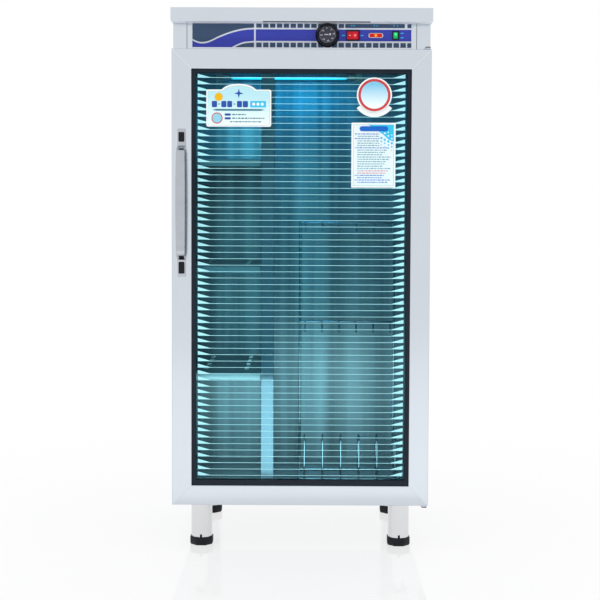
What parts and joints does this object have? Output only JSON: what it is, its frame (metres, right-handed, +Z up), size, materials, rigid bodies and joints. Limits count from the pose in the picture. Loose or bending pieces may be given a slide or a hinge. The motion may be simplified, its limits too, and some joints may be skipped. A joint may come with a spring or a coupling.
{
  "type": "uv knife sterilizer",
  "caption": "Upright stainless cabinet on screw feet with a framed glass door, bow handle, control strip with dial and rockers, a germicidal lamp, lift-out shelves and a wire board rack.",
  "frame": {"origin": "middle of the footprint, on the floor", "axes": "+Z up, -Y out of the door, +X to the right when facing the door"},
  "size_m": [0.614, 0.51, 1.29],
  "materials": {
    "outer_steel": "satin stainless sheet",
    "chamber_steel": "satin stainless sheet",
    "tube_steel": "polished stainless",
    "rack_wire": "bright plated wire",
    "bright_reflector": "mirror-bright sheet",
    "printed_film": "printed polyester film",
    "pane_glass": "clear tempered glass with a printed line pattern",
    "lamp_glass": "quartz glass tube",
    "gasket_rubber": "matt black rubber",
    "handle_chrome": "bright chrome",
    "black_plastic": "moulded black plastic",
    "knob_plastic": "gloss black with a grey dial face",
    "white_plastic": "moulded white plastic",
    "red_plastic": "translucent red",
    "green_plastic": "translucent green",
    "pilot_bezel": "bright bezel",
    "pilot_red": "translucent red lens",
    "ballast_iron": "varnished laminations",
    "starter_can": "plain can"
  },
  "bodies": {
    "cabinet": {"left_side_panel": "outer_steel", "right_side_panel": "outer_steel", "back_panel": "outer_steel", "base_pan": "outer_steel", "top_cover": "outer_steel", "control_fascia": "outer_steel", "service_cover": "outer_steel", "chamber_wall_left": "chamber_steel", "chamber_wall_right": "chamber_steel", "chamber_back": "chamber_steel", "chamber_floor": "chamber_steel", "chamber_ceiling": "chamber_steel", "divider_panel": "chamber_steel", "shelf_rails": "chamber_steel", "leg_front_left": "tube_steel", "leg_front_right": "tube_steel", "leg_rear_left": "tube_steel", "leg_rear_right": "tube_steel", "hinge_bracket_top": "tube_steel", "hinge_bracket_bottom": "tube_steel", "hinge_pins": "tube_steel", "lamp_reflector": "bright_reflector", "control_overlay": "printed_film", "uv_lamp": "lamp_glass", "leg_inserts": "black_plastic", "main_switch_housing": "black_plastic", "lamp_switch_housing": "black_plastic", "door_switch_body": "black_plastic", "terminal_block": "black_plastic", "timer_mechanism": "black_plastic", "cord_gland": "black_plastic", "lamp_holders": "white_plastic", "pilot_lamp_body": "pilot_bezel", "pilot_lamp_lens": "pilot_red", "lamp_ballast": "ballast_iron", "lamp_starter": "starter_can"},
    "door": {"door_stile_left": "outer_steel", "door_stile_right": "outer_steel", "door_rail_top": "outer_steel", "door_rail_bottom": "outer_steel", "door_glass": "pane_glass", "glazing_gasket": "gasket_rubber", "door_seal": "gasket_rubber", "door_handle": "handle_chrome", "handle_caps": "black_plastic", "hinge_bushes": "black_plastic"},
    "shelf_upper": {"shelf_upper": "chamber_steel"},
    "shelf_middle": {"shelf_middle": "chamber_steel"},
    "shelf_lower": {"shelf_lower": "chamber_steel"},
    "board_rack": {"rack_base": "rack_wire", "rack_back": "rack_wire"},
    "timer_knob": {"timer_knob": "knob_plastic"},
    "main_rocker": {"main_rocker": "red_plastic"},
    "lamp_rocker": {"lamp_rocker": "green_plastic"},
    "door_plunger": {"door_switch_plunger": "white_plastic"},
    "foot_front_left": {"foot_front_left": "black_plastic"},
    "foot_front_right": {"foot_front_right": "black_plastic"},
    "foot_rear_left": {"foot_rear_left": "black_plastic"},
    "foot_rear_right": {"foot_rear_right": "black_plastic"}
  },
  "joints": [
    {"name": "door_hinge", "type": "hinge", "parent": "cabinet", "child": "door", "pos_m": [0.297, -0.195, 0.654], "axis": [0, 0, 1], "range_deg": [0, 110]},
    {"name": "shelf_upper_lift", "type": "slide", "parent": "cabinet", "child": "shelf_upper", "axis": [0, 0, 1], "range_m": [0, 0.03]},
    {"name": "shelf_middle_lift", "type": "slide", "parent": "cabinet", "child": "shelf_middle", "axis": [0, 0, 1], "range_m": [0, 0.03]},
    {"name": "shelf_lower_lift", "type": "slide", "parent": "cabinet", "child": "shelf_lower", "axis": [0, 0, 1], "range_m": [0, 0.03]},
    {"name": "rack_lift", "type": "slide", "parent": "cabinet", "child": "board_rack", "axis": [0, 0, 1], "range_m": [0, 0.05]},
    {"name": "timer_turn", "type": "hinge", "parent": "cabinet", "child": "timer_knob", "pos_m": [0.0605, -0.185, 1.23], "axis": [0, 1, 0], "range_deg": [0, 300]},
    {"name": "main_rocker_tilt", "type": "hinge", "parent": "cabinet", "child": "main_rocker", "pos_m": [0.121, -0.1711, 1.23], "axis": [0, 0, 1], "range_deg": [0, 20]},
    {"name": "lamp_rocker_tilt", "type": "hinge", "parent": "cabinet", "child": "lamp_rocker", "pos_m": [0.222, -0.1711, 1.23], "axis": [1, 0, 0], "range_deg": [0, 20]},
    {"name": "door_plunger_press", "type": "slide", "parent": "cabinet", "child": "door_plunger", "axis": [0, 1, 0], "range_m": [0, 0.003], "stiffness_N_per_m": 150},
    {"name": "foot_front_left_screw", "type": "slide", "parent": "cabinet", "child": "foot_front_left", "axis": [0, 0, -1], "range_m": [0, 0.015]},
    {"name": "foot_front_right_screw", "type": "slide", "parent": "cabinet", "child": "foot_front_right", "axis": [0, 0, -1], "range_m": [0, 0.015]},
    {"name": "foot_rear_left_screw", "type": "slide", "parent": "cabinet", "child": "foot_rear_left", "axis": [0, 0, -1], "range_m": [0, 0.015]},
    {"name": "foot_rear_right_screw", "type": "slide", "parent": "cabinet", "child": "foot_rear_right", "axis": [0, 0, -1], "range_m": [0, 0.015]}
  ]
}
